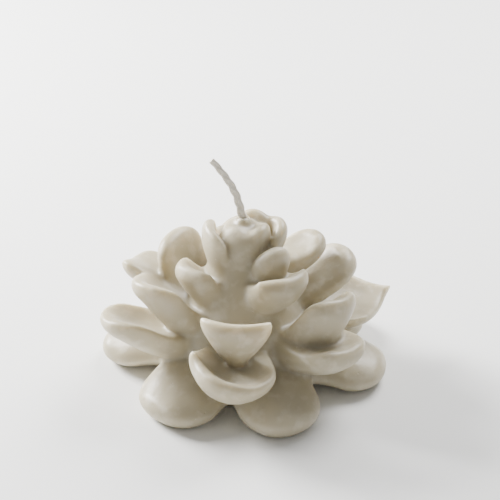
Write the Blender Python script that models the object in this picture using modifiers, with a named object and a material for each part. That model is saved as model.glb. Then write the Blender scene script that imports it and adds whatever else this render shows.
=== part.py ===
"""Lotus flower candle: a wax flower cast in one piece round a cotton wick.

Row frame: metres, +Z up, the flat base on z = 0, the flower centred on the
Z axis by its bounding box. The front of the flower looks along -Y.
"""
import math

import bmesh
import bpy
from mathutils import Matrix, Vector

MM = 0.001
OBJECT = "lotus_flower_candle"

# Where the flower's own axis stands, so that its bounding box is centred (mm).
FLOWER_AXIS = (-1.35, -0.3)

# Wax body (mm).
STEM_PROFILE = (
    (0.0, 40.5), (4.0, 39.5), (5.4, 37.0), (7.0, 32.0), (9.4, 27.0), (12.4, 21.0),
    (15.0, 16.0), (17.0, 11.0), (17.5, 5.0), (17.0, -3.0), (0.0, -3.0),
)
STEM_SIDES = 16
FUSE_VOXEL = 0.75
FUSE_SMOOTH = 5
FINISH_RATIO = 0.105
BASE_CUT_DEPTH = 12.0

# Wick (mm): the straight length inside the wax, then the free end that leans.
WICK_RADIUS = 0.95
WICK_TIP_RADIUS = 0.72
WICK_GAP = 0.3
WICK_RECESS = 0.3
WICK_AXIS = (0.1, 0.8)
WICK_LEAN = ((0.0, 40.5), (-0.7, 44.0), (-2.0, 48.4), (-4.6, 53.0), (-7.2, 56.5))

# Stations of a petal's cage: along its midline, and across it.
ALONG = (0.0, 0.2, 0.4, 0.58, 0.74, 0.87, 0.95, 1.0)
ACROSS = (-1.0, -0.55, 0.0, 0.55, 1.0)


def petal_ring(root, rise, width, neck=0.6, widest=0.62, swell=1.0, blunt=0.5, cup=(25, 54),
               rim=3.2, keel=9.5, fade=0.8, pull=(0.45, 0.4)):
    """The shape that one ring's petals share; lengths in mm, angles in degrees."""
    return {"root": root, "rise": rise, "width": width, "neck": neck, "widest": widest,
            "swell": swell, "blunt": blunt, "cup": cup, "rim": rim, "keel": keel, "fade": fade,
            "pull": pull, "roll": 0.0, "sway": 0.0}


BASE_RING = petal_ring((9, 7), (6, -20), 9.6, neck=0.62, widest=0.6, blunt=0.45,
                       cup=(-20, -34), rim=6.2, keel=12.0, fade=2.5)
LOWER_RING = petal_ring((12, 12.5), (2, 34), 9.2)
MIDDLE_RING = petal_ring((10, 17), (20, 46), 7.8, neck=0.7, widest=0.64, cup=(50, 54), rim=3.0,
                         keel=8.0, fade=0.7, pull=(0.42, 0.4))
UPPER_RING = petal_ring((6.2, 26.5), (20, 56), 6.8, neck=0.62, widest=0.66, blunt=0.48,
                        cup=(30, 56), rim=2.8, keel=8.5, pull=(0.4, 0.4))
INNER_RING = petal_ring((3.2, 30), (40, 86), 4.8, neck=0.7, widest=0.66, blunt=0.45,
                        cup=(35, 62), rim=2.6, keel=6.0, pull=(0.42, 0.4))
BUD_RING = petal_ring((1.4, 33), (60, 104), 3.6, neck=0.7, widest=0.6, blunt=0.45,
                      cup=(45, 75), rim=2.3, keel=4.0, pull=(0.42, 0.4))

# Every petal: its ring, its azimuth, the reach and height of its tip, and what sets it
# apart from its ring, because the master was modelled by hand.
PETALS = (
    (BASE_RING, -129, (31.8, 2.4), {"width": 10.6, "neck": 1.15}),
    (BASE_RING, -69, (32.3, 2.4), {"width": 9.8, "neck": 1.15}),
    (BASE_RING, -8, (34.8, 2.4), {"width": 10.2, "neck": 1.35}),
    (BASE_RING, 38, (35.5, 2.4), {}),
    (BASE_RING, 104, (33.4, 2.4), {}),
    (BASE_RING, 169, (34.8, 2.6), {"width": 9.0, "neck": 1.35}),
    (LOWER_RING, -96, (32.8, 18.0), {"rise": (-4, 66), "width": 9.8, "widest": 0.58, "blunt": 0.42,
                                     "cup": (38, 74), "pull": (0.5, 0.36), "keel": 8.5,
                                     "sway": -4, "roll": -22}),
    (LOWER_RING, -163, (34.4, 20.0), {"rise": (4, 26), "width": 8.8, "blunt": 0.45, "roll": 14,
                                      "cup": (26, 46)}),
    (LOWER_RING, -36, (31.6, 16.6), {"rise": (-4, 34), "width": 9.2, "blunt": 0.34, "roll": -13,
                                     "root": (12, 15.5), "cup": (10, 30), "keel": 13.5}),
    (LOWER_RING, 22, (39.6, 14.4), {"rise": (2, 18), "width": 12.2, "roll": 14, "widest": 0.42,
                                    "blunt": 1.5, "cup": (30, 58), "rim": 2.6, "keel": 7.5}),
    (LOWER_RING, 92, (34.4, 17.5), {"width": 9.8}),
    (LOWER_RING, 160, (29.6, 24.2), {"root": (12, 14), "rise": (42, 8), "width": 8.4,
                                     "widest": 0.84, "blunt": 0.2, "roll": 20, "cup": (24, 26),
                                     "rim": 3.6}),
    (MIDDLE_RING, -94, (26.4, 28.8), {"root": (15, 14), "rise": (28, 80), "width": 8.0,
                                      "neck": 0.16, "widest": 0.9, "swell": 1.5, "blunt": 0.34,
                                      "cup": (24, 50), "keel": 5.0, "roll": -4,
                                      "pull": (0.42, 0.36)}),
    (MIDDLE_RING, -160, (26.0, 29.4), {"roll": 18, "cup": (36, 52), "keel": 9.0}),
    (MIDDLE_RING, -30, (27.0, 27.6), {"root": (11, 13), "rise": (30, 50), "roll": -18,
                                      "widest": 0.74, "blunt": 0.42, "keel": 15.0,
                                      "cup": (26, 40)}),
    (MIDDLE_RING, 23, (28.0, 27.2), {"width": 7.4, "widest": 0.7, "cup": (8, 16), "rim": 5.0}),
    (MIDDLE_RING, 85, (27.0, 28.5), {}),
    (MIDDLE_RING, 148, (20.0, 32.4), {"rise": (30, 74), "width": 8.3, "neck": 0.85, "widest": 0.7,
                                      "blunt": 0.42, "keel": 8.0, "cup": (6, 16), "rim": 4.2}),
    (UPPER_RING, -156, (15.4, 31.8), {"root": (6, 24.5), "rise": (22, 50), "width": 6.2, "roll": 10}),
    (UPPER_RING, -51, (17.2, 33.2), {"rise": (14, 76), "width": 6.7, "widest": 0.74, "blunt": 0.3,
                                     "keel": 10.5, "cup": (30, 50), "roll": -6,
                                     "pull": (0.45, 0.36)}),
    (UPPER_RING, 30, (21.4, 32.0), {"rise": (16, 50), "width": 5.8, "roll": -8, "cup": (14, 30),
                                    "rim": 3.6}),
    (UPPER_RING, 100, (17.2, 31.0), {"rise": (20, 62)}),
    (INNER_RING, -110, (4.4, 39.4), {"root": (3.0, 25), "rise": (64, 94), "width": 4.2,
                                     "widest": 0.82, "blunt": 0.3, "keel": 5.0, "roll": -16,
                                     "cup": (40, 58)}),
    (INNER_RING, -168, (7.8, 40.6), {"root": (3.0, 26), "rise": (62, 94), "width": 6.2,
                                    "widest": 0.8, "blunt": 0.34, "keel": 4.5, "cup": (30, 44)}),
    (INNER_RING, -44, (9.4, 37.4), {"root": (3.2, 27), "rise": (30, 112), "width": 4.6,
                                    "widest": 0.7, "keel": 6.5, "cup": (16, 24), "rim": 3.6,
                                    "blunt": 0.45, "roll": -20}),
    (INNER_RING, 16, (9.2, 40.0), {"rise": (48, 88), "width": 5.2, "keel": 4.5}),
    (INNER_RING, 66, (6.6, 40.8), {"rise": (56, 90), "width": 3.7}),
    (BUD_RING, -120, (2.6, 40.4), {"rise": (66, 100), "width": 2.4}),
    (BUD_RING, -28, (4.6, 41.0), {"rise": (62, 108), "width": 4.0, "keel": 4.4, "cup": (30, 50)}),
    (BUD_RING, 120, (2.4, 40.4), {"rise": (64, 96), "width": 3.0}),
)


def clear_scene():
    for item in list(bpy.data.objects):
        bpy.data.objects.remove(item, do_unlink=True)


def collection(name):
    made = bpy.data.collections.new(name)
    bpy.context.scene.collection.children.link(made)
    return made


def material(name, colour, roughness):
    made = bpy.data.materials.new(name)
    made.use_nodes = True
    shader = made.node_tree.nodes["Principled BSDF"]
    shader.inputs["Base Color"].default_value = (*colour, 1.0)
    shader.inputs["Roughness"].default_value = roughness
    made.diffuse_color = (*colour, 1.0)
    return made


def add_object(mesh, name, target, surface=None):
    made = bpy.data.objects.new(name, mesh)
    target.objects.link(made)
    if surface:
        mesh.materials.append(surface)
    return made


def midline(shape, tip, u):
    """Point and slope of a petal's midline at u, as (radius, height) pairs."""
    start, end = Vector(shape["root"]), Vector(tip)
    chord = (end - start).length
    leave, arrive = (math.radians(a) for a in shape["rise"])
    first = start + shape["pull"][0] * chord * Vector((math.cos(leave), math.sin(leave)))
    last = end - shape["pull"][1] * chord * Vector((math.cos(arrive), math.sin(arrive)))
    point = ((1 - u) ** 3 * start + 3 * (1 - u) ** 2 * u * first
             + 3 * (1 - u) * u ** 2 * last + u ** 3 * end)
    slope = ((1 - u) ** 2 * (first - start) + 2 * (1 - u) * u * (last - first)
             + u ** 2 * (end - last)).normalized()
    return point, slope


def half_width(shape, u):
    """Half the petal's width at u, as a share of its largest half-width."""
    if u < shape["widest"]:
        swell = math.sin(math.pi / 2 * (u / shape["widest"]) ** shape["swell"])
        return shape["neck"] + (1 - shape["neck"]) * swell
    past = (u - shape["widest"]) / (1 - shape["widest"])
    return max(0.28, (1 - past ** 2) ** shape["blunt"])


def petal_section(shape, tip, u):
    """Upper and lower points of one station across a petal, in the XZ plane's frame."""
    (radius, height), (run, climb) = midline(shape, tip, u)
    share = half_width(shape, u)
    width = shape["width"] * share
    bend = math.radians(shape["cup"][0] + (shape["cup"][1] - shape["cup"][0]) * u)
    if u > shape["widest"]:
        bend = math.asin(math.sin(bend) * share)
    turn = Matrix.Rotation(math.radians(shape["roll"]) * u, 3, Vector((run, 0, climb)))
    side = turn @ Vector((0, 1, 0))
    up = turn @ Vector((-climb, 0, run))
    curl = width / math.sin(bend)
    upper, lower = [], []
    for v in ACROSS:
        angle = bend * v
        centre = (Vector((radius, 0, height)) + curl * math.sin(angle) * side
                  + curl * (1 - math.cos(angle)) * up)
        normal = math.cos(angle) * up - math.sin(angle) * side
        half = shape["rim"] / 2
        fade = 1 - 0.92 * u ** shape["fade"]
        keel = (shape["keel"] - shape["rim"]) * fade * (1 - v * v)
        upper.append(centre + half * normal)
        lower.append(centre - (half + keel) * normal)
    return upper, lower


def add_petal(mesh, shape, azimuth, tip):
    """Add one petal's coarse closed cage to the mesh."""
    rows = []
    for u in ALONG:
        turn = Matrix.Rotation(math.radians(azimuth + shape["sway"] * u ** 1.5), 3, "Z")
        upper, lower = petal_section(shape, tip, u)
        loop = upper + lower[::-1]
        rows.append([mesh.verts.new((turn @ point) * MM) for point in loop])
    count = len(rows[0])
    for near, far in zip(rows, rows[1:]):
        for i in range(count):
            j = (i + 1) % count
            mesh.faces.new((near[i], far[i], far[j], near[j]))
    across = len(ACROSS)
    for row, order in ((rows[0], 1), (rows[-1], -1)):
        for i in range(across - 1):
            face = (row[i], row[i + 1], row[count - 2 - i], row[count - 1 - i])
            mesh.faces.new(face[::order])


def turned_stem(target):
    """The tapering stem that all the petals grow from, as a mesh."""
    profile = bpy.data.meshes.new("stem_profile")
    edges = [(i, i + 1) for i in range(len(STEM_PROFILE) - 1)]
    profile.from_pydata([(radius * MM, 0, height * MM) for radius, height in STEM_PROFILE], edges, [])
    stem = add_object(profile, "stem_profile", target)
    turned = stem.modifiers.new("turn", "SCREW")
    turned.axis = "Z"
    turned.angle = 2 * math.pi
    turned.steps = STEM_SIDES
    turned.render_steps = STEM_SIDES
    turned.use_merge_vertices = True
    turned.merge_threshold = 0.0001
    mesh = bpy.data.meshes.new_from_object(stem.evaluated_get(bpy.context.evaluated_depsgraph_get()))
    bpy.data.objects.remove(stem, do_unlink=True)
    return mesh


def boolean_cut(target, cutter, name):
    cut = target.modifiers.new(name, "BOOLEAN")
    cut.operation = "DIFFERENCE"
    cut.solver = "EXACT"
    cut.object = cutter


def stand(thing, axis, offset=(0, 0, 0)):
    """Place a thing by the flower's axis, with its offset in mm."""
    thing.parent = axis
    thing.location = Vector(offset) * MM
    return thing


def make_base_cutter(target, axis):
    """A block whose top face trims the wax flat, as the pouring face of the mould does."""
    mesh = bmesh.new()
    bmesh.ops.create_cube(mesh, size=1.0)
    bmesh.ops.scale(mesh, vec=(0.12, 0.12, BASE_CUT_DEPTH * MM), verts=mesh.verts)
    bmesh.ops.translate(mesh, vec=(0, 0, -BASE_CUT_DEPTH * MM / 2), verts=mesh.verts)
    data = bpy.data.meshes.new("base_cutter")
    mesh.to_mesh(data)
    mesh.free()
    return stand(add_object(data, "base_cutter", target), axis)


def make_bore_cutter(target, axis):
    """A rod that opens the wick's channel right through the wax."""
    mesh = bmesh.new()
    bmesh.ops.create_cone(mesh, cap_ends=True, segments=24, radius1=(WICK_RADIUS + WICK_GAP) * MM,
                          radius2=(WICK_RADIUS + WICK_GAP) * MM, depth=70 * MM)
    data = bpy.data.meshes.new("bore_cutter")
    mesh.to_mesh(data)
    mesh.free()
    return stand(add_object(data, "bore_cutter", target), axis, (*WICK_AXIS, 25))


def make_wax(target, cutters, axis):
    """The flower: petal and stem cages, fused and trimmed to one casting."""
    mesh = bmesh.new()
    mesh.from_mesh(turned_stem(target))
    for shape, azimuth, tip, own in PETALS:
        add_petal(mesh, {**shape, **own}, azimuth, tip)
    bmesh.ops.recalc_face_normals(mesh, faces=mesh.faces)
    data = bpy.data.meshes.new("wax_flower")
    mesh.to_mesh(data)
    mesh.free()
    flower = add_object(data, "wax_flower", target, material("paraffin_wax", (0.60, 0.56, 0.48), 0.42))
    stand(flower, axis)
    rounded = flower.modifiers.new("round_cages", "SUBSURF")
    rounded.levels = 2
    rounded.render_levels = 2
    fused = flower.modifiers.new("fuse_petals", "REMESH")
    fused.mode = "VOXEL"
    fused.voxel_size = FUSE_VOXEL * MM
    soft = flower.modifiers.new("soften_joins", "SMOOTH")
    soft.factor = 0.5
    soft.iterations = FUSE_SMOOTH
    light = flower.modifiers.new("lighten", "DECIMATE")
    light.ratio = FINISH_RATIO
    boolean_cut(flower, make_base_cutter(cutters, axis), "flat_base")
    boolean_cut(flower, make_bore_cutter(cutters, axis), "wick_channel")
    return flower


def make_wick(target, axis):
    """The braided wick: straight through the wax, then leaning over as it dries."""
    curve = bpy.data.curves.new("wick_path", "CURVE")
    curve.dimensions = "3D"
    curve.bevel_depth = MM
    curve.bevel_resolution = 2
    curve.resolution_u = 3
    curve.use_fill_caps = True
    path = [(0.0, WICK_RECESS), (0.0, 20.0), *WICK_LEAN]
    line = curve.splines.new("BEZIER")
    line.bezier_points.add(len(path) - 1)
    for knot, (shift, height) in zip(line.bezier_points, path):
        knot.co = Vector((shift, 0, height)) * MM
        knot.handle_left_type = knot.handle_right_type = "AUTO"
        above = max(0.0, (height - WICK_LEAN[0][1]) / (WICK_LEAN[-1][1] - WICK_LEAN[0][1]))
        knot.radius = WICK_RADIUS + (WICK_TIP_RADIUS - WICK_RADIUS) * above
    maker = bpy.data.objects.new("wick_path", curve)
    target.objects.link(maker)
    mesh = bpy.data.meshes.new_from_object(maker.evaluated_get(bpy.context.evaluated_depsgraph_get()))
    bpy.data.objects.remove(maker, do_unlink=True)
    mesh.name = "wick"
    tidy = bmesh.new()
    tidy.from_mesh(mesh)
    bmesh.ops.remove_doubles(tidy, verts=tidy.verts, dist=1e-6)
    bmesh.ops.recalc_face_normals(tidy, faces=tidy.faces)
    tidy.to_mesh(mesh)
    tidy.free()
    mesh.materials.clear()
    wick = add_object(mesh, "wick", target, material("waxed_cotton", (0.56, 0.52, 0.44), 0.6))
    return stand(wick, axis, (*WICK_AXIS, 0))


def main():
    clear_scene()
    parts = collection(OBJECT)
    cutters = collection("cutters")
    axis = bpy.data.objects.new("flower_axis", None)
    axis.location = (FLOWER_AXIS[0] * MM, FLOWER_AXIS[1] * MM, 0)
    parts.objects.link(axis)
    make_wax(parts, cutters, axis)
    make_wick(parts, axis)
    for cutter in cutters.objects:
        cutter.hide_render = True
        cutter.display_type = "WIRE"


main()
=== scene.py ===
"""Lotus flower candle: the moulded wax flower, its waxed cotton wick, and a plain studio stage.

Lengths in the tables are millimetres and angles are degrees; the frame is in metres, +Z up.
"""
import math

import bpy
import numpy as np
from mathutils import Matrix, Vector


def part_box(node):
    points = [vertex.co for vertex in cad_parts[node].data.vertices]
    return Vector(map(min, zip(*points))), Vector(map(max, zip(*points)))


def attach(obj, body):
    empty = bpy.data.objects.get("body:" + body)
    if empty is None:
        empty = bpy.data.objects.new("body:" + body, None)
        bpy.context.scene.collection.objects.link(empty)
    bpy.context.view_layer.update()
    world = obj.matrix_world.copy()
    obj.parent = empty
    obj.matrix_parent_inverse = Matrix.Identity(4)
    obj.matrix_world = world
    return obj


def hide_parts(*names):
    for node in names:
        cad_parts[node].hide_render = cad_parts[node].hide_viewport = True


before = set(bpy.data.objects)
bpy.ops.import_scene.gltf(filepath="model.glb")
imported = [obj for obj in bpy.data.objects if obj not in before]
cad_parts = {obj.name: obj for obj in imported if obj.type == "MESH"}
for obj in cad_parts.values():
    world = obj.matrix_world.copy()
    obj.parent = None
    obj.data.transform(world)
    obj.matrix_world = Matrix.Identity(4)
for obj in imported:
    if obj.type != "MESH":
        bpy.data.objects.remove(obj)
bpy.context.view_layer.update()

import openvdb
from mathutils import Matrix, Vector

bl_info = {
    "name": "Lotus Flower Candle",
    "version": (1, 0, 0),
    "blender": (4, 5, 0),
    "location": "View3D > Sidebar > Candle",
    "description": "Casts a wax lotus flower round a braided wick and sets it on a studio stage",
    "category": "Object",
}

MM = 0.001

# The flower's own axis in the frame: its bounding box is centred on Z, its petals are not.
FLOWER_AXIS = (-1.35, -0.3)

# The tapering stem inside the petals, as radius and height from the table up to the bud.
STEM_PROFILE = (
    (0.0, -3.0), (17.0, -3.0), (17.5, 5.0), (17.0, 11.0), (15.0, 16.0), (12.4, 21.0),
    (9.4, 27.0), (7.0, 32.0), (5.4, 37.0), (4.0, 39.5), (0.0, 40.5),
)
STEM_STEPS = 96

# The wick's path from its recessed foot to its leaning tip, as sideways shift and height.
WICK_AXIS = (0.1, 0.8)
WICK_PATH = ((0.0, 0.3), (0.0, 20.0), (0.0, 40.5), (-0.7, 44.0), (-2.0, 48.4), (-4.6, 53.0),
             (-7.2, 56.5))
WICK_SAMPLES = 420
WICK_CELL = 0.11
WICK_STRANDS = 3
WICK_TAPER = 0.36
WICK_TWIST = 8.0

# The wax that climbs the wick where it leaves the bud: radius and height of a small cone,
# and the heights at which it is cut off.
COLLAR = ((2.6, 39.6), (1.25, 42.0))
COLLAR_MIDDLE = 40.0
COLLAR_HALF_HEIGHT = 2.0
COLLAR_FILLET = 1.2
CHANNEL_GAP = 0.12
CHANNEL_ROUNDING = 0.1
FOOT_ROUNDING = 0.8
WAX_MARGIN = 2.0

CLOUD_TINT = "#A89F87"
BLOOM_TINT = "#C9C2B0"
SPECK_TINT = "#3A3226"
YARN_SHADE = "#C6BEAC"
WAX_IOR = 1.44
WAX_RADIUS = (1.0, 0.92, 0.76)


def petal_ring(root, rise, width, neck=0.6, widest=0.62, swell=1.0, blunt=0.5, cup=(25, 54),
               rim=3.2, keel=9.5, fade=0.8, pull=(0.45, 0.4)):
    """The shape that the petals of one ring share."""
    return {"root": root, "rise": rise, "width": width, "neck": neck, "widest": widest,
            "swell": swell, "blunt": blunt, "cup": cup, "rim": rim, "keel": keel, "fade": fade,
            "pull": pull, "roll": 0.0, "sway": 0.0}


BASE_RING = petal_ring((9, 7), (6, -20), 9.6, neck=0.62, widest=0.6, blunt=0.45,
                       cup=(-20, -34), rim=6.2, keel=12.0, fade=2.5)
LOWER_RING = petal_ring((12, 12.5), (2, 34), 9.2)
MIDDLE_RING = petal_ring((10, 17), (20, 46), 7.8, neck=0.7, widest=0.64, cup=(50, 54), rim=3.0,
                         keel=8.0, fade=0.7, pull=(0.42, 0.4))
UPPER_RING = petal_ring((6.2, 26.5), (20, 56), 6.8, neck=0.62, widest=0.66, blunt=0.48,
                        cup=(30, 56), rim=2.8, keel=8.5, pull=(0.4, 0.4))
INNER_RING = petal_ring((3.2, 30), (40, 86), 4.8, neck=0.7, widest=0.66, blunt=0.45,
                        cup=(35, 62), rim=2.6, keel=6.0, pull=(0.42, 0.4))
BUD_RING = petal_ring((1.4, 33), (60, 104), 3.6, neck=0.7, widest=0.6, blunt=0.45,
                      cup=(45, 75), rim=2.3, keel=4.0, pull=(0.42, 0.4))

# Every petal: its ring, its azimuth, the reach and height of its tip, and what sets it
# apart from its ring, because the master was modelled by hand.
PETALS = (
    (BASE_RING, -129, (31.8, 2.4), {"width": 10.6, "neck": 1.15}),
    (BASE_RING, -69, (32.3, 2.4), {"width": 9.8, "neck": 1.15}),
    (BASE_RING, -8, (34.8, 2.4), {"width": 10.2, "neck": 1.35}),
    (BASE_RING, 38, (35.5, 2.4), {}),
    (BASE_RING, 104, (33.4, 2.4), {}),
    (BASE_RING, 169, (34.8, 2.6), {"width": 9.0, "neck": 1.35}),
    (LOWER_RING, -96, (32.8, 18.0), {"rise": (-4, 66), "width": 9.8, "widest": 0.58, "blunt": 0.42,
                                     "cup": (38, 74), "pull": (0.5, 0.36), "keel": 8.5,
                                     "sway": -4, "roll": -22}),
    (LOWER_RING, -163, (34.4, 20.0), {"rise": (4, 26), "width": 8.8, "blunt": 0.45, "roll": 14,
                                      "cup": (26, 46)}),
    (LOWER_RING, -36, (31.6, 16.6), {"rise": (-4, 34), "width": 9.2, "blunt": 0.34, "roll": -13,
                                     "root": (12, 15.5), "cup": (10, 30), "keel": 13.5}),
    (LOWER_RING, 22, (39.6, 14.4), {"rise": (2, 18), "width": 12.2, "roll": 14, "widest": 0.42,
                                    "blunt": 1.5, "cup": (30, 58), "rim": 2.6, "keel": 7.5}),
    (LOWER_RING, 92, (34.4, 17.5), {"width": 9.8}),
    (LOWER_RING, 160, (29.6, 24.2), {"root": (12, 14), "rise": (42, 8), "width": 8.4,
                                     "widest": 0.84, "blunt": 0.2, "roll": 20, "cup": (24, 26),
                                     "rim": 3.6}),
    (MIDDLE_RING, -94, (26.4, 28.8), {"root": (15, 14), "rise": (28, 80), "width": 8.0,
                                      "neck": 0.16, "widest": 0.9, "swell": 1.5, "blunt": 0.34,
                                      "cup": (24, 50), "keel": 5.0, "roll": -4,
                                      "pull": (0.42, 0.36)}),
    (MIDDLE_RING, -160, (26.0, 29.4), {"roll": 18, "cup": (36, 52), "keel": 9.0}),
    (MIDDLE_RING, -30, (27.0, 27.6), {"root": (11, 13), "rise": (30, 50), "roll": -18,
                                      "widest": 0.74, "blunt": 0.42, "keel": 15.0,
                                      "cup": (26, 40)}),
    (MIDDLE_RING, 23, (28.0, 27.2), {"width": 7.4, "widest": 0.7, "cup": (8, 16), "rim": 5.0}),
    (MIDDLE_RING, 85, (27.0, 28.5), {}),
    (MIDDLE_RING, 148, (20.0, 32.4), {"rise": (30, 74), "width": 8.3, "neck": 0.85, "widest": 0.7,
                                      "blunt": 0.42, "keel": 8.0, "cup": (6, 16), "rim": 4.2}),
    (UPPER_RING, -156, (15.4, 31.8), {"root": (6, 24.5), "rise": (22, 50), "width": 6.2,
                                      "roll": 10}),
    (UPPER_RING, -51, (17.2, 33.2), {"rise": (14, 76), "width": 6.7, "widest": 0.74, "blunt": 0.3,
                                     "keel": 10.5, "cup": (30, 50), "roll": -6,
                                     "pull": (0.45, 0.36)}),
    (UPPER_RING, 30, (21.4, 32.0), {"rise": (16, 50), "width": 5.8, "roll": -8, "cup": (14, 30),
                                    "rim": 3.6}),
    (UPPER_RING, 100, (17.2, 31.0), {"rise": (20, 62)}),
    (INNER_RING, -110, (4.4, 39.4), {"root": (3.0, 25), "rise": (64, 94), "width": 4.2,
                                     "widest": 0.82, "blunt": 0.3, "keel": 5.0, "roll": -16,
                                     "cup": (40, 58)}),
    (INNER_RING, -168, (7.8, 40.6), {"root": (3.0, 26), "rise": (62, 94), "width": 6.2,
                                    "widest": 0.8, "blunt": 0.34, "keel": 4.5, "cup": (30, 44)}),
    (INNER_RING, -44, (9.4, 37.4), {"root": (3.2, 27), "rise": (30, 112), "width": 4.6,
                                    "widest": 0.7, "keel": 6.5, "cup": (16, 24), "rim": 3.6,
                                    "blunt": 0.45, "roll": -20}),
    (INNER_RING, 16, (9.2, 40.0), {"rise": (48, 88), "width": 5.2, "keel": 4.5}),
    (INNER_RING, 66, (6.6, 40.8), {"rise": (56, 90), "width": 3.7}),
    (BUD_RING, -120, (2.6, 40.4), {"rise": (66, 100), "width": 2.4}),
    (BUD_RING, -28, (4.6, 41.0), {"rise": (62, 108), "width": 4.0, "keel": 4.4, "cup": (30, 50)}),
    (BUD_RING, 120, (2.4, 40.4), {"rise": (64, 96), "width": 3.0}),
)

SLAB_STATIONS = (34, 19, 2)
MIDLINE_STEPS = 64
LEAST_TAPER = 0.02
ROUNDED_END = 0.14
KEEL_LOSS = 0.92
WANDER_SCALE = 95.0

# Distance fields: cells on each side of a surface, and spare cells round the block.
SDF_BAND_CELLS = 6
SDF_MARGIN = 4.0

# The stage: the height aimed at and the camera's slide across its own view are millimetres;
# the floor's reach and each light's place and size are metres.
AIM_HEIGHT = 20.0
CAMERA_SLIDE = (1.67, 11.48)
FLOOR_REACH = 1.5
WINDOW_LIGHT = ((-0.36, 0.24, 0.23), 0.20)
BACK_LIGHT = ((0.20, 0.28, 0.36), 0.24)
BACK_SHARE = 0.35
WORLD_STRENGTH = 0.4


# ---------------------------------------------------------------- settings

def linear(hex_colour):
    """An sRGB hex colour as linear red, green, blue and alpha."""
    parts = [int(hex_colour[i:i + 2], 16) / 255 for i in (1, 3, 5)]
    return (*(p / 12.92 if p <= 0.04045 else ((p + 0.055) / 1.055) ** 2.4 for p in parts), 1.0)


class CandleWaxSettings(bpy.types.PropertyGroup):
    """Sizes and colours of the wax flower."""

    fillet: bpy.props.FloatProperty(
        name="Fillet", description="Reach of the rounding where petals grow together",
        default=2.6 * MM, min=0.2 * MM, subtype="DISTANCE", unit="LENGTH")
    grain: bpy.props.FloatProperty(
        name="Mesh Grain", description="Cell size of the mesh that the wax is fused on",
        default=0.52 * MM, min=0.5 * MM, subtype="DISTANCE", unit="LENGTH")
    wobble: bpy.props.FloatProperty(
        name="Wobble", description="How far the hand-modelled faces wander from true",
        default=0.45 * MM, min=0.0, subtype="DISTANCE", unit="LENGTH")
    colour: bpy.props.FloatVectorProperty(
        name="Wax Colour", description="Ivory of the paraffin", subtype="COLOR",
        default=linear("#B5AC95")[:3], min=0.0, max=1.0)


class CandleWickSettings(bpy.types.PropertyGroup):
    """Sizes and colours of the wick."""

    width: bpy.props.FloatProperty(
        name="Width", description="Width of the flat braid at its foot",
        default=2.5 * MM, min=0.5 * MM, subtype="DISTANCE", unit="LENGTH")
    thickness: bpy.props.FloatProperty(
        name="Thickness", description="Thickness of the flat braid",
        default=1.3 * MM, min=0.3 * MM, subtype="DISTANCE", unit="LENGTH")
    strand: bpy.props.FloatProperty(
        name="Strand", description="Thickness of one of the three strands",
        default=1.05 * MM, min=0.2 * MM, subtype="DISTANCE", unit="LENGTH")
    soak: bpy.props.FloatProperty(
        name="Soak", description="Reach of the wax that fills the creases between strands",
        default=0.6 * MM, min=0.05 * MM, subtype="DISTANCE", unit="LENGTH")
    pitch: bpy.props.FloatProperty(
        name="Braid Pitch", description="Length over which a strand crosses over and back",
        default=9.0 * MM, min=1.0 * MM, subtype="DISTANCE", unit="LENGTH")
    colour: bpy.props.FloatVectorProperty(
        name="Wick Colour", description="Cotton soaked in wax", subtype="COLOR",
        default=linear("#EAE4D8")[:3], min=0.0, max=1.0)


class CandleStageSettings(bpy.types.PropertyGroup):
    """Camera and light of the studio stage."""

    elevation: bpy.props.FloatProperty(
        name="Camera Elevation", description="Angle of the camera above the table",
        default=math.radians(30), subtype="ANGLE", unit="ROTATION")
    distance: bpy.props.FloatProperty(
        name="Camera Distance", description="Distance from the camera to the flower",
        default=0.40, min=0.1, subtype="DISTANCE", unit="LENGTH")
    focal_length: bpy.props.FloatProperty(
        name="Focal Length", description="Lens of the camera, in millimetres",
        default=120.4, min=20.0)
    light_power: bpy.props.FloatProperty(
        name="Light Power", description="Power of the main light, in watts",
        default=11.0, min=0.0, subtype="POWER", unit="POWER")
    floor_colour: bpy.props.FloatVectorProperty(
        name="Floor Colour", description="Plain pale floor", subtype="COLOR",
        default=linear("#F4F4F2")[:3], min=0.0, max=1.0)


# ---------------------------------------------------------------- shared helpers

def add_node(tree, kind, settings=None, **sockets):
    """Add a node; each socket is a value or an output to link, named with underscores."""
    node = tree.nodes.new(kind)
    for name, value in (settings or {}).items():
        setattr(node, name, value)
    for name, value in sockets.items():
        wanted = name.replace("_", " ")
        if wanted.isdigit():
            socket = node.inputs[int(wanted)]
        else:
            socket = next(s for s in node.inputs if s.enabled and s.name == wanted)
        if isinstance(value, bpy.types.NodeSocket):
            tree.links.new(value, socket)
        else:
            socket.default_value = value
    return node


def maths_in(tree):
    """A short call that adds a maths node to the tree and returns its output."""
    def calc(operation, *values, clamp=False):
        sockets = {str(i): value for i, value in enumerate(values)}
        return add_node(tree, "ShaderNodeMath", {"operation": operation, "use_clamp": clamp},
                        **sockets).outputs[0]
    return calc


def new_shader(name, scatter_weight, scatter_scale):
    """A new waxy material, with its node tree and its Principled shader."""
    material = bpy.data.materials.new(name)
    material.use_nodes = True
    shader = material.node_tree.nodes["Principled BSDF"]
    shader.inputs["IOR"].default_value = WAX_IOR
    shader.inputs["Subsurface Weight"].default_value = scatter_weight
    shader.inputs["Subsurface Radius"].default_value = WAX_RADIUS
    shader.inputs["Subsurface Scale"].default_value = scatter_scale
    return material, material.node_tree, shader


def speckle(tree, spot, size, detail):
    """Noise whose patches are about size across."""
    return add_node(tree, "ShaderNodeTexNoise", Vector=spot, Scale=1 / size,
                    Detail=detail).outputs[0]


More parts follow.
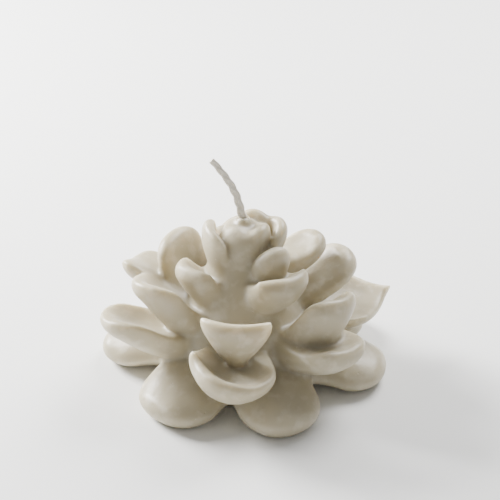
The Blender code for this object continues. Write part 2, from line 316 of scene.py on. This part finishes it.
def mesh_piece(name, points, faces, material):
    """A smooth-shaded mesh object at the origin."""
    mesh = bpy.data.meshes.new(name)
    mesh.vertices.add(len(points))
    mesh.vertices.foreach_set("co", np.asarray(points, np.float32).ravel())
    faces = np.asarray(faces, np.int32)
    mesh.loops.add(faces.size)
    mesh.loops.foreach_set("vertex_index", faces.ravel())
    mesh.polygons.add(len(faces))
    starts = np.arange(0, faces.size, faces.shape[1], dtype=np.int32)
    mesh.polygons.foreach_set("loop_start", starts)
    mesh.update(calc_edges=True)
    mesh.validate()
    mesh.shade_smooth()
    mesh.materials.append(material)
    piece = bpy.data.objects.new(name, mesh)
    bpy.context.scene.collection.objects.link(piece)
    return piece


def mesh_arrays(mesh):
    """Points in millimetres and triangles of a mesh."""
    points = np.empty(len(mesh.vertices) * 3, np.float32)
    mesh.vertices.foreach_get("co", points)
    mesh.calc_loop_triangles()
    triangles = np.empty(len(mesh.loop_triangles) * 3, np.int32)
    mesh.loop_triangles.foreach_get("vertices", triangles)
    return points.reshape(-1, 3) / MM, triangles.reshape(-1, 3).astype(np.uint32)


# ---------------------------------------------------------------- distance fields

class Field:
    """A block of signed distances in millimetres, negative inside the wax."""

    def __init__(self, low, high, cell):
        self.cell = cell
        self.start = np.floor((np.array(low) - SDF_MARGIN * cell) / cell).astype(int)
        stop = np.ceil((np.array(high) + SDF_MARGIN * cell) / cell).astype(int)
        self.shape = tuple(int(n) for n in stop - self.start)
        self.far = SDF_BAND_CELLS * cell
        self.values = np.full(self.shape, self.far, np.float32)

    def axis(self, which):
        """Coordinates along one axis, shaped to broadcast over the block."""
        line = (np.arange(self.shape[which]) + self.start[which]) * self.cell
        return line.reshape([-1 if i == which else 1 for i in range(3)]).astype(np.float32)

    def distance_to(self, points, triangles):
        """Signed distance to a closed mesh, clipped to the band."""
        grid = openvdb.FloatGrid.createLevelSetFromPolygons(
            points, triangles=triangles, transform=openvdb.createLinearTransform(self.cell),
            halfWidth=SDF_BAND_CELLS)
        block = np.full(self.shape, self.far, np.float32)
        grid.copyToArray(block, ijk=tuple(int(n) for n in self.start))
        return block

    def join(self, other, reach):
        """Smooth union with a second block of distances."""
        near = np.maximum(reach - np.abs(self.values - other), 0) / reach
        self.values = np.minimum(self.values, other) - near ** 3 * reach / 6

    def cut(self, other, reach):
        """Smooth cut that keeps only what lies inside the second block."""
        near = np.maximum(reach - np.abs(self.values - other), 0) / reach
        self.values = np.maximum(self.values, other) + near ** 3 * reach / 6

    def surface(self):
        """Points in metres and outward quads of the zero surface."""
        grid = openvdb.FloatGrid(self.far)
        grid.transform = openvdb.createLinearTransform(self.cell)
        grid.copyFromArray(self.values, ijk=tuple(int(n) for n in self.start), tolerance=0.0)
        points, quads = grid.convertToQuads(0.0)
        return points * MM, quads[:, ::-1]


# ---------------------------------------------------------------- wax flower

PETAL_INPUTS = (
    "Azimuth", "Root Reach", "Root Height", "Tip Reach", "Tip Height", "Leave Angle",
    "Arrive Angle", "Leave Pull", "Arrive Pull", "Half Width", "Neck", "Widest", "Swell",
    "Blunt", "Root Cup", "Tip Cup", "Rim Thickness", "Keel Thickness", "Keel Fade", "Roll",
    "Sway", "Wobble", "Seed",
)


def petal_values(shape, azimuth, tip, wobble, seed):
    """One petal's modifier inputs, in metres and radians, by socket name."""
    root, rise, cup = shape["root"], shape["rise"], shape["cup"]
    return {
        "Azimuth": math.radians(azimuth),
        "Root Reach": root[0] * MM, "Root Height": root[1] * MM,
        "Tip Reach": tip[0] * MM, "Tip Height": tip[1] * MM,
        "Leave Angle": math.radians(rise[0]), "Arrive Angle": math.radians(rise[1]),
        "Leave Pull": shape["pull"][0], "Arrive Pull": shape["pull"][1],
        "Half Width": shape["width"] * MM, "Neck": shape["neck"], "Widest": shape["widest"],
        "Swell": shape["swell"], "Blunt": shape["blunt"],
        "Root Cup": math.radians(cup[0]), "Tip Cup": math.radians(cup[1]),
        "Rim Thickness": shape["rim"] * MM, "Keel Thickness": shape["keel"] * MM,
        "Keel Fade": shape["fade"], "Roll": math.radians(shape["roll"]),
        "Sway": math.radians(shape["sway"]), "Wobble": wobble, "Seed": float(seed),
    }


def petal_tree():
    """A slab bent into a cupped petal: its midline is a curve, its width and cup are rules."""
    tree = bpy.data.node_groups.new("cast_petal", "GeometryNodeTree")
    tree.interface.new_socket("Petal", in_out="OUTPUT", socket_type="NodeSocketGeometry")
    for name in PETAL_INPUTS:
        tree.interface.new_socket(name, in_out="INPUT", socket_type="NodeSocketFloat")
    given = add_node(tree, "NodeGroupInput").outputs
    calc = maths_in(tree)

    def vector(operation, *values, scale=None):
        sockets = {str(i): value for i, value in enumerate(values)}
        if scale is not None:
            sockets["Scale"] = scale
        node = add_node(tree, "ShaderNodeVectorMath", {"operation": operation}, **sockets)
        return node.outputs["Value" if operation == "LENGTH" else "Vector"]

    def in_plane(run, climb):
        return add_node(tree, "ShaderNodeCombineXYZ", X=run, Z=climb).outputs[0]

    # A slab one unit long and two wide; its stations crowd towards the rims.
    slab = add_node(tree, "GeometryNodeMeshCube", Size=(1.0, 2.0, 1.0), Vertices_X=SLAB_STATIONS[0],
                    Vertices_Y=SLAB_STATIONS[1], Vertices_Z=SLAB_STATIONS[2]).outputs["Mesh"]
    spot = add_node(tree, "GeometryNodeInputPosition").outputs[0]
    flat = add_node(tree, "ShaderNodeSeparateXYZ", Vector=spot).outputs
    quarter = math.pi / 2
    along = calc("SINE", calc("MULTIPLY", calc("ADD", flat[0], 0.5), quarter))
    across = calc("SINE", calc("MULTIPLY", flat[1], quarter))

    # Midline.
    start = in_plane(given["Root Reach"], given["Root Height"])
    end = in_plane(given["Tip Reach"], given["Tip Height"])
    chord = vector("LENGTH", vector("SUBTRACT", end, start))
    leave = in_plane(calc("COSINE", given["Leave Angle"]), calc("SINE", given["Leave Angle"]))
    arrive = in_plane(calc("COSINE", given["Arrive Angle"]), calc("SINE", given["Arrive Angle"]))
    leave = vector("SCALE", leave, scale=calc("MULTIPLY", chord, given["Leave Pull"]))
    arrive = vector("SCALE", arrive, scale=calc("MULTIPLY", chord, given["Arrive Pull"]))
    first, last = vector("ADD", start, leave), vector("SUBTRACT", end, arrive)
    midline = add_node(tree, "GeometryNodeCurvePrimitiveBezierSegment", {"mode": "POSITION"},
                       Resolution=MIDLINE_STEPS, Start=start, Start_Handle=first,
                       End_Handle=last, End=end)
    sample = add_node(tree, "GeometryNodeSampleCurve", {"mode": "FACTOR", "use_all_curves": True},
                      Curves=midline.outputs[0], Factor=along)
    centre, forward = sample.outputs["Position"], sample.outputs["Tangent"]
    turn = calc("MULTIPLY", given["Roll"], along)
    side = add_node(tree, "ShaderNodeVectorRotate", {"rotation_type": "AXIS_ANGLE"},
                    Vector=(0.0, 1.0, 0.0), Axis=forward, Angle=turn).outputs[0]
    up = vector("CROSS_PRODUCT", forward, side)

    # Width along the petal: it swells out of its neck, then rounds off to the tip.
    grown = calc("POWER", calc("DIVIDE", along, given["Widest"], clamp=True), given["Swell"])
    swell = calc("SINE", calc("MULTIPLY", grown, quarter))
    body = calc("ADD", given["Neck"], calc("MULTIPLY", calc("SUBTRACT", 1.0, given["Neck"]), swell))
    past = calc("DIVIDE", calc("SUBTRACT", along, given["Widest"]),
                calc("SUBTRACT", 1.0, given["Widest"]), clamp=True)
    taper = calc("SUBTRACT", 1.0, calc("MULTIPLY", past, past), clamp=True)
    taper = calc("POWER", taper, given["Blunt"])
    taper = calc("MAXIMUM", taper, LEAST_TAPER)
    width = calc("MULTIPLY", given["Half Width"], calc("MULTIPLY", body, taper))

    # Cup across the petal: an arc whose radius stays put towards the tip.
    cup = calc("ADD", given["Root Cup"],
               calc("MULTIPLY", calc("SUBTRACT", given["Tip Cup"], given["Root Cup"]), along))
    cup = calc("ARCSINE", calc("MULTIPLY", calc("SINE", cup), taper))
    arc = calc("MULTIPLY", cup, across)
    radius = calc("DIVIDE", width, calc("SINE", cup))
    shift = vector("SCALE", side, scale=calc("MULTIPLY", radius, calc("SINE", arc)))
    rise = calc("MULTIPLY", radius, calc("SUBTRACT", 1.0, calc("COSINE", arc)))
    lift = vector("SCALE", up, scale=rise)
    sheet = vector("ADD", centre, vector("ADD", shift, lift))
    normal = vector("SUBTRACT", vector("SCALE", up, scale=calc("COSINE", arc)),
                    vector("SCALE", side, scale=calc("SINE", arc)))

    # Thickness: round rims and tip, and a keel under the middle that fades outwards.
    close = calc("DIVIDE", calc("SUBTRACT", along, 1.0 - ROUNDED_END), ROUNDED_END, clamp=True)
    tip_round = calc("SQRT", calc("SUBTRACT", 1.0, calc("MULTIPLY", close, close), clamp=True))
    edge = calc("POWER", calc("ABSOLUTE", across), 3.0)
    rim_round = calc("SQRT", calc("SUBTRACT", 1.0, edge, clamp=True))
    half = calc("MULTIPLY", calc("MULTIPLY", given["Rim Thickness"], 0.5),
                calc("MULTIPLY", tip_round, rim_round))
    fade = calc("POWER", along, given["Keel Fade"])
    fade = calc("SUBTRACT", 1.0, calc("MULTIPLY", fade, KEEL_LOSS))
    crown = calc("SUBTRACT", 1.0, calc("MULTIPLY", across, across))
    depth = calc("SUBTRACT", given["Keel Thickness"], given["Rim Thickness"])
    keel = calc("MULTIPLY", calc("MULTIPLY", depth, fade), calc("MULTIPLY", crown, tip_round))
    upper = calc("GREATER_THAN", flat[2], 0.0)
    below = calc("SUBTRACT", upper, 1.0)
    offset = calc("ADD", calc("MULTIPLY", half, calc("ADD", upper, below)),
                  calc("MULTIPLY", keel, below))
    skin = vector("ADD", sheet, vector("SCALE", normal, scale=offset))

    # Hand-made wander, then the turn to the petal's place in its ring.
    wander = add_node(tree, "ShaderNodeTexNoise", {"noise_dimensions": "4D"}, Vector=skin,
                      W=given["Seed"], Scale=WANDER_SCALE, Detail=1.0).outputs["Color"]
    wander = vector("SCALE", vector("SUBTRACT", wander, (0.5, 0.5, 0.5)),
                    scale=calc("MULTIPLY", given["Wobble"], 2.0))
    skin = vector("ADD", skin, wander)
    spin = calc("ADD", given["Azimuth"], calc("MULTIPLY", given["Sway"], calc("POWER", along, 1.5)))
    placed = add_node(tree, "ShaderNodeVectorRotate", {"rotation_type": "Z_AXIS"},
                      Vector=skin, Angle=spin).outputs[0]
    bent = add_node(tree, "GeometryNodeSetPosition", Geometry=slab, Position=placed).outputs[0]
    real = add_node(tree, "GeometryNodeRealizeInstances", Geometry=bent).outputs[0]
    waxed = add_node(tree, "GeometryNodeSetMaterial", Geometry=real,
                     Material=bpy.data.materials["moulded_paraffin_wax"]).outputs[0]
    add_node(tree, "NodeGroupOutput", Petal=waxed)
    return tree


def evaluate_tree(tree, values, start=None):
    """The plain mesh that a tree makes from named input values, and a curve if it needs one."""
    start = start or bpy.data.meshes.new(tree.name)
    maker = bpy.data.objects.new(tree.name, start)
    bpy.context.scene.collection.objects.link(maker)
    modifier = maker.modifiers.new(tree.name, "NODES")
    modifier.node_group = tree
    for item in tree.interface.items_tree:
        if item.item_type == "SOCKET" and item.in_out == "INPUT" and item.name in values:
            modifier[item.identifier] = values[item.name]
    graph = bpy.context.evaluated_depsgraph_get()
    mesh = bpy.data.meshes.new_from_object(maker.evaluated_get(graph))
    bpy.data.objects.remove(maker, do_unlink=True)
    (bpy.data.curves if isinstance(start, bpy.types.Curve) else bpy.data.meshes).remove(start)
    return mesh


def flat_rod(across, deep, half_width, half_depth):
    """Distance to an upright rod of rounded oblong section."""
    beyond = np.maximum(np.abs(across) - (half_width - half_depth), 0)
    return np.hypot(beyond, deep) - half_depth


def turned_stem():
    """Points and triangles of the stem, its profile turned about the flower's axis."""
    points, quads = [], []
    count = len(STEM_PROFILE)
    for step in range(STEM_STEPS):
        angle = 2 * math.pi * step / STEM_STEPS
        points += [(r * math.cos(angle), r * math.sin(angle), z) for r, z in STEM_PROFILE]
        here, there = step * count, (step + 1) % STEM_STEPS * count
        quads += [(here + i, there + i, there + i + 1, here + i + 1) for i in range(count - 1)]
    quads = np.array(quads, np.uint32)
    return np.array(points, np.float32), np.concatenate([quads[:, [0, 1, 2]], quads[:, [0, 2, 3]]])


def wick_points():
    """Points along the wick's smooth path in the frame, in millimetres."""
    foot = np.array([FLOWER_AXIS[0] + WICK_AXIS[0], FLOWER_AXIS[1] + WICK_AXIS[1]])
    knots = np.array([(foot[0] + shift, foot[1], height) for shift, height in WICK_PATH])
    heights = np.linspace(knots[0, 2], knots[-1, 2], WICK_SAMPLES)
    slopes = np.gradient(knots[:, 0], knots[:, 2])
    index = np.clip(np.searchsorted(knots[:, 2], heights) - 1, 0, len(knots) - 2)
    span = knots[index + 1, 2] - knots[index, 2]
    t = (heights - knots[index, 2]) / span
    x = ((2 * t ** 3 - 3 * t ** 2 + 1) * knots[index, 0]
         + (t ** 3 - 2 * t ** 2 + t) * span * slopes[index]
         + (3 * t ** 2 - 2 * t ** 3) * knots[index + 1, 0]
         + (t ** 3 - t ** 2) * span * slopes[index + 1])
    return np.stack([x, np.full(WICK_SAMPLES, foot[1]), heights], axis=1)


def wax_material(settings):
    """Paraffin wax cast in a soft mould: a satin ivory that light enters by a few millimetres,
    faintly clouded, with a chalky bloom in places, pinhole bubbles and stray dark specks."""
    material, tree, shader = new_shader("moulded_paraffin_wax", 0.8, 5.5 * MM)
    spot = add_node(tree, "ShaderNodeTexCoord").outputs["Object"]
    calc = maths_in(tree)

    def noise(size, detail):
        return speckle(tree, spot, size, detail)

    def spread(value, low, high, to_low=0.0, to_high=1.0):
        return add_node(tree, "ShaderNodeMapRange", Value=value, From_Min=low, From_Max=high,
                        To_Min=to_low, To_Max=to_high).outputs[0]

    def mixed(share, first, second):
        return add_node(tree, "ShaderNodeMix", {"data_type": "RGBA"}, Factor=share, A=first,
                        B=second).outputs["Result"]

    def dots(cell, radius, share):
        """Round dots in a share of the cells, one cell apart on average."""
        cells = add_node(tree, "ShaderNodeTexVoronoi", Vector=spot, Scale=1 / cell).outputs
        pick = add_node(tree, "ShaderNodeSeparateColor", Color=cells["Color"]).outputs[0]
        inside = spread(cells["Distance"], radius / cell, radius / cell * 0.5)
        return calc("MULTIPLY", inside, calc("LESS_THAN", pick, share))

    # Clouds are about 11 mm across and the bloom comes in patches of about 3 mm.
    clouds = spread(noise(11 * MM, 2.0), 0.3, 0.7)
    bloom = spread(noise(3 * MM, 5.0), 0.5, 0.68)
    bubbles = dots(2.6 * MM, 0.26 * MM, 0.4)
    specks = dots(9 * MM, 0.3 * MM, 0.32)
    tone = mixed(clouds, linear(CLOUD_TINT), (*settings.colour, 1.0))
    tone = mixed(calc("MULTIPLY", bloom, 0.5), tone, linear(BLOOM_TINT))
    tone = mixed(calc("MULTIPLY", bubbles, 0.45), tone, linear(BLOOM_TINT))
    tone = mixed(calc("MULTIPLY", specks, 0.9), tone, linear(SPECK_TINT))
    tree.links.new(tone, shader.inputs["Base Color"])
    tree.links.new(spread(bloom, 0.0, 1.0, 0.36, 0.56), shader.inputs["Roughness"])

    # Relief in metres: slow waves of the hand-cut master, chalky grain, and bubble pinholes.
    # Real bloom grain is near 0.05 mm; it is drawn at 0.7 mm to show at all.
    waves = calc("MULTIPLY", noise(5 * MM, 1.0), 0.22 * MM)
    grain = calc("MULTIPLY", noise(0.7 * MM, 2.0), spread(bloom, 0.0, 1.0, 0.3, 1.0))
    grain = calc("MULTIPLY", grain, 0.08 * MM)
    relief = calc("SUBTRACT", calc("ADD", waves, grain), calc("MULTIPLY", bubbles, 0.10 * MM))
    bump = add_node(tree, "ShaderNodeBump", Height=relief, Distance=1.0, Strength=1.0).outputs[0]
    tree.links.new(bump, shader.inputs["Normal"])
    return material


def cast_petals(settings):
    """Every petal's mesh, as points in millimetres and triangles."""
    tree = petal_tree()
    meshes = []
    for seed, (ring, azimuth, tip, own) in enumerate(PETALS):
        values = petal_values({**ring, **own}, azimuth, tip, settings.wobble, seed)
        mesh = evaluate_tree(tree, values)
        meshes.append(mesh_arrays(mesh))
        bpy.data.meshes.remove(mesh)
    bpy.data.node_groups.remove(tree)
    return meshes


class CANDLE_OT_cast_wax(bpy.types.Operator):
    """Cast the wax flower: petals and stem fused, poured flat, with the wick's channel"""

    bl_idname = "candle.cast_wax"
    bl_label = "Cast Wax Flower"

    def execute(self, context):
        settings = context.scene.candle_wax
        material = wax_material(settings)
        cell = settings.grain / MM
        low, high = (np.array(corner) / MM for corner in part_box("wax_flower"))
        centre = np.array([*FLOWER_AXIS, 0.0])
        field = Field(low - centre - WAX_MARGIN, high - centre + WAX_MARGIN, cell)
        field.values = field.distance_to(*turned_stem())
        for points, triangles in cast_petals(settings):
            field.join(field.distance_to(points, triangles), settings.fillet / MM)
        across, deep, height = (field.axis(0) - WICK_AXIS[0], field.axis(1) - WICK_AXIS[1],
                                field.axis(2))
        (foot, low_rim), (lip, high_rim) = COLLAR
        slant = foot + (lip - foot) * (height - low_rim) / (high_rim - low_rim)
        collar = np.maximum(np.hypot(across, deep) - slant,
                            np.abs(height - COLLAR_MIDDLE) - COLLAR_HALF_HEIGHT)
        field.join(collar.astype(np.float32), COLLAR_FILLET)
        wick = context.scene.candle_wick
        channel = flat_rod(across, deep, wick.width / MM / 2 + CHANNEL_GAP,
                           wick.thickness / MM / 2 + CHANNEL_GAP)
        field.cut(-channel, CHANNEL_ROUNDING)
        field.cut(-height, FOOT_ROUNDING)
        points, quads = field.surface()
        piece = mesh_piece("wax_casting", points + centre * MM, quads, material)
        if not len(piece.data.polygons):
            raise RuntimeError("the wax field has no surface")
        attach(piece, "root")
        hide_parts("wax_flower")
        return {"FINISHED"}


# ---------------------------------------------------------------- wick

def wick_material(settings):
    """Braided cotton soaked in paraffin: dull yarn under a thin, patchy skin of satin wax."""
    material, tree, shader = new_shader("waxed_cotton_braid", 0.25, 0.6 * MM)
    spot = add_node(tree, "ShaderNodeTexCoord").outputs["Object"]
    # Wax skin in patches of about 1.5 mm; yarn of 0.2 mm is drawn at 0.35 mm so that it shows.
    skin, yarn = speckle(tree, spot, 1.5 * MM, 2.0), speckle(tree, spot, 0.35 * MM, 2.0)
    tone = add_node(tree, "ShaderNodeMix", {"data_type": "RGBA"}, Factor=yarn,
                    A=linear(YARN_SHADE), B=(*settings.colour, 1.0)).outputs["Result"]
    tree.links.new(tone, shader.inputs["Base Color"])
    gloss = add_node(tree, "ShaderNodeMapRange", Value=skin, From_Min=0.35, From_Max=0.65,
                     To_Min=0.38, To_Max=0.62).outputs[0]
    tree.links.new(gloss, shader.inputs["Roughness"])
    bump = add_node(tree, "ShaderNodeBump", Height=yarn, Distance=0.12 * MM,
                    Strength=0.6).outputs[0]
    tree.links.new(bump, shader.inputs["Normal"])
    return material


BRAID_INPUTS = ("Strands", "Width", "Thickness", "Strand Radius", "Pitch", "Taper", "Twist")


def braid_tree():
    """Strands that weave across and under each other along the given path."""
    tree = bpy.data.node_groups.new("flat_braid", "GeometryNodeTree")
    tree.interface.new_socket("Path", in_out="INPUT", socket_type="NodeSocketGeometry")
    for name in BRAID_INPUTS:
        kind = "NodeSocketInt" if name == "Strands" else "NodeSocketFloat"
        tree.interface.new_socket(name, in_out="INPUT", socket_type=kind)
    tree.interface.new_socket("Braid", in_out="OUTPUT", socket_type="NodeSocketGeometry")
    given = add_node(tree, "NodeGroupInput").outputs
    calc = maths_in(tree)

    def scaled(direction, amount):
        return add_node(tree, "ShaderNodeVectorMath", {"operation": "SCALE"}, **{"0": direction},
                        Scale=amount).outputs[0]

    tangent = add_node(tree, "GeometryNodeInputTangent").outputs[0]
    run = add_node(tree, "GeometryNodeSplineParameter").outputs
    copies = add_node(tree, "GeometryNodeDuplicateElements", {"domain": "SPLINE"},
                      Geometry=given["Path"], Amount=given["Strands"])
    phase = calc("DIVIDE", calc("MULTIPLY", copies.outputs["Duplicate Index"], 2 * math.pi),
                 given["Strands"])
    turns = calc("DIVIDE", run["Length"], given["Pitch"])
    swing = calc("ADD", calc("MULTIPLY", turns, 2 * math.pi), phase)
    narrowing = calc("SUBTRACT", 1.0, calc("MULTIPLY", calc("POWER", run["Factor"], 3.0),
                                           given["Taper"]))

    # The flat face lies in the plane the wick leans in; a slow turn lets it catch the light.
    twist = calc("MULTIPLY", given["Twist"], run["Factor"])
    flat = add_node(tree, "ShaderNodeVectorRotate", {"rotation_type": "AXIS_ANGLE"},
                    Vector=(0.0, 1.0, 0.0), Axis=tangent, Angle=twist).outputs[0]
    side = add_node(tree, "ShaderNodeVectorMath", {"operation": "CROSS_PRODUCT"},
                    **{"0": flat, "1": tangent}).outputs[0]
    room = calc("SUBTRACT", calc("MULTIPLY", given["Width"], 0.5), given["Strand Radius"])
    depth = calc("SUBTRACT", calc("MULTIPLY", given["Thickness"], 0.5), given["Strand Radius"])
    sideways = calc("MULTIPLY", calc("MULTIPLY", room, calc("SINE", swing)), narrowing)
    under = calc("MULTIPLY", depth, calc("SINE", calc("MULTIPLY", swing, 2.0)))
    shift = add_node(tree, "ShaderNodeVectorMath", {"operation": "ADD"},
                     **{"0": scaled(side, sideways), "1": scaled(flat, under)}).outputs[0]
    strands = add_node(tree, "GeometryNodeSetPosition", Geometry=copies.outputs["Geometry"],
                       Offset=shift).outputs[0]
    section = add_node(tree, "GeometryNodeCurvePrimitiveCircle", {"mode": "RADIUS"}, Resolution=12,
                       Radius=given["Strand Radius"]).outputs[0]
    solid = add_node(tree, "GeometryNodeCurveToMesh", Curve=strands, Profile_Curve=section,
                     Scale=narrowing, Fill_Caps=True).outputs[0]
    real = add_node(tree, "GeometryNodeRealizeInstances", Geometry=solid).outputs[0]
    dressed = add_node(tree, "GeometryNodeSetMaterial", Geometry=real,
                       Material=bpy.data.materials["waxed_cotton_braid"]).outputs[0]
    add_node(tree, "NodeGroupOutput", Braid=dressed)
    return tree


class CANDLE_OT_braid_wick(bpy.types.Operator):
    """Braid the wick along its path and soak it in wax"""

    bl_idname = "candle.braid_wick"
    bl_label = "Braid Wick"

    def execute(self, context):
        settings = context.scene.candle_wick
        material = wick_material(settings)
        curve = bpy.data.curves.new("wick_path", "CURVE")
        curve.dimensions = "3D"
        route = wick_points() * MM
        line = curve.splines.new("POLY")
        line.points.add(len(route) - 1)
        for knot, spot in zip(line.points, route):
            knot.co = (*spot, 1.0)
        tree = braid_tree()
        mesh = evaluate_tree(tree, {
            "Strands": WICK_STRANDS, "Width": settings.width, "Thickness": settings.thickness,
            "Strand Radius": settings.strand / 2, "Pitch": settings.pitch, "Taper": WICK_TAPER,
            "Twist": math.radians(WICK_TWIST)}, curve)
        bpy.data.node_groups.remove(tree)

        points, triangles = mesh_arrays(mesh)
        bpy.data.meshes.remove(mesh)
        field = Field(points.min(axis=0), points.max(axis=0), WICK_CELL)
        count = len(points) // WICK_STRANDS
        for first in range(0, len(points), count):
            last = first + count
            own = triangles[((triangles >= first) & (triangles < last)).all(axis=1)]
            field.join(field.distance_to(points[first:last], own - first), settings.soak / MM)
        points, quads = field.surface()
        piece = mesh_piece("waxed_wick", points, quads, material)
        if not len(piece.data.polygons):
            raise RuntimeError("the wick field has no surface")
        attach(piece, "root")
        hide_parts("wick")
        return {"FINISHED"}


# ---------------------------------------------------------------- stage

def area_light(name, aim, spot, size, power):
    """A square soft light at spot, facing aim."""
    data = bpy.data.lights.new(name, "AREA")
    data.energy = power
    data.size = size
    light = bpy.data.objects.new(name, data)
    bpy.context.scene.collection.objects.link(light)
    facing = (aim - Vector(spot)).to_track_quat("-Z", "Y")
    light.matrix_world = Matrix.Translation(spot) @ facing.to_matrix().to_4x4()


class CANDLE_OT_set_stage(bpy.types.Operator):
    """Lay the pale floor, hang the soft lights and place the camera"""

    bl_idname = "candle.set_stage"
    bl_label = "Set Stage"

    def execute(self, context):
        settings = context.scene.candle_stage
        floor_material = bpy.data.materials.new("matt_paper_floor")
        floor_material.use_nodes = True
        shader = floor_material.node_tree.nodes["Principled BSDF"]
        shader.inputs["Base Color"].default_value = (*settings.floor_colour, 1.0)
        shader.inputs["Roughness"].default_value = 0.9
        corners = [(x * FLOOR_REACH, y * FLOOR_REACH, 0)
                   for x, y in ((-1, -1), (1, -1), (1, 1), (-1, 1))]
        floor = mesh_piece("paper_floor", corners, [(0, 1, 2, 3)], floor_material)

        aim = Vector((*FLOWER_AXIS, AIM_HEIGHT)) * MM
        area_light("window_light", aim, *WINDOW_LIGHT, settings.light_power)
        area_light("back_light", aim, *BACK_LIGHT, settings.light_power * BACK_SHARE)
        world = bpy.data.worlds.new("studio")
        world.use_nodes = True
        background = world.node_tree.nodes["Background"]
        background.inputs["Color"].default_value = (1.0, 1.0, 1.0, 1.0)
        background.inputs["Strength"].default_value = WORLD_STRENGTH
        context.scene.world = world

        data = bpy.data.cameras.new("studio_camera")
        data.lens = settings.focal_length
        data.sensor_width = 36.0
        camera = bpy.data.objects.new("studio_camera", data)
        context.scene.collection.objects.link(camera)
        tilt = Matrix.Rotation(math.pi / 2 - settings.elevation, 4, "X")
        back = tilt @ Vector((0, 0, settings.distance))
        slide = tilt @ (Vector((*CAMERA_SLIDE, 0)) * MM)
        camera.matrix_world = Matrix.Translation(aim + slide + back) @ tilt
        context.scene.camera = camera
        return {"FINISHED"}


# ---------------------------------------------------------------- panel and registration

class CANDLE_PT_panel(bpy.types.Panel):
    """The candle's settings and makers in the sidebar"""

    bl_label = "Lotus Flower Candle"
    bl_space_type = "VIEW_3D"
    bl_region_type = "UI"
    bl_category = "Candle"

    def draw(self, context):
        groups = (
            (context.scene.candle_wax, CANDLE_OT_cast_wax),
            (context.scene.candle_wick, CANDLE_OT_braid_wick),
            (context.scene.candle_stage, CANDLE_OT_set_stage),
        )
        for settings, operator in groups:
            box = self.layout.box()
            for name in settings.__annotations__:
                box.prop(settings, name)
            box.operator(operator.bl_idname)


CLASSES = (
    CandleWaxSettings, CandleWickSettings, CandleStageSettings,
    CANDLE_OT_cast_wax, CANDLE_OT_braid_wick, CANDLE_OT_set_stage, CANDLE_PT_panel,
)


def register():
    for cls in CLASSES:
        bpy.utils.register_class(cls)
    bpy.types.Scene.candle_wax = bpy.props.PointerProperty(type=CandleWaxSettings)
    bpy.types.Scene.candle_wick = bpy.props.PointerProperty(type=CandleWickSettings)
    bpy.types.Scene.candle_stage = bpy.props.PointerProperty(type=CandleStageSettings)


def unregister():
    for name in ("candle_stage", "candle_wick", "candle_wax"):
        delattr(bpy.types.Scene, name)
    for cls in reversed(CLASSES):
        bpy.utils.unregister_class(cls)


def main():
    register()
    bpy.ops.candle.cast_wax()
    bpy.ops.candle.braid_wick()
    bpy.ops.candle.set_stage()


if __name__ == "__main__":
    main()
